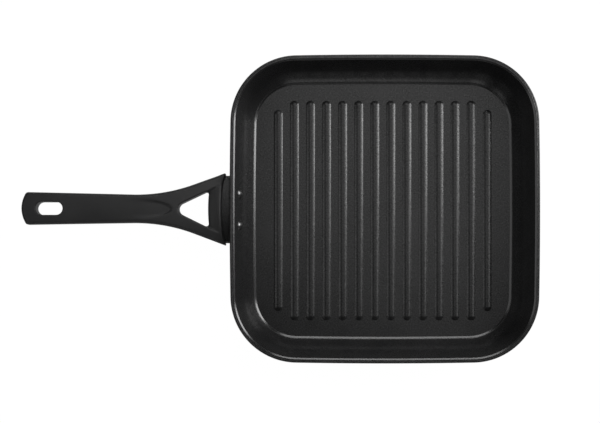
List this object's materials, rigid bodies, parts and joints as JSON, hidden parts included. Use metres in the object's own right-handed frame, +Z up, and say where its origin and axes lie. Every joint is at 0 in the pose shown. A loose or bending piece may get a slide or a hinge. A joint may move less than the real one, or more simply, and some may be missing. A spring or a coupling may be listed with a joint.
{
  "type": "square grill pan",
  "caption": "Square non-stick grill pan with a ribbed floor, riveted bracket and long moulded handle with a window and a hanging hole.",
  "frame": {"origin": "centre of the flat underside of the pan", "axes": "+Z up out of the pan, handle towards -X, Y across the handle"},
  "size_m": [0.466, 0.2794, 0.0598],
  "materials": {
    "non_stick_coating": "dark semi-gloss non-stick coating on aluminium",
    "bracket_coating": "dark satin coating on aluminium",
    "rivet_coating": "dark semi-gloss coating on aluminium",
    "handle_plastic": "black, finely textured heat-proof plastic",
    "base_steel": "turned stainless steel",
    "screw_steel": "plain stainless steel"
  },
  "bodies": {
    "root": {"pan_body": "non_stick_coating", "base_plate": "base_steel", "handle_bracket": "bracket_coating", "left_rivet": "rivet_coating", "right_rivet": "rivet_coating", "handle": "handle_plastic", "left_handle_screw": "screw_steel", "right_handle_screw": "screw_steel", "left_lock_washer": "screw_steel", "right_lock_washer": "screw_steel"}
  },
  "joints": []
}
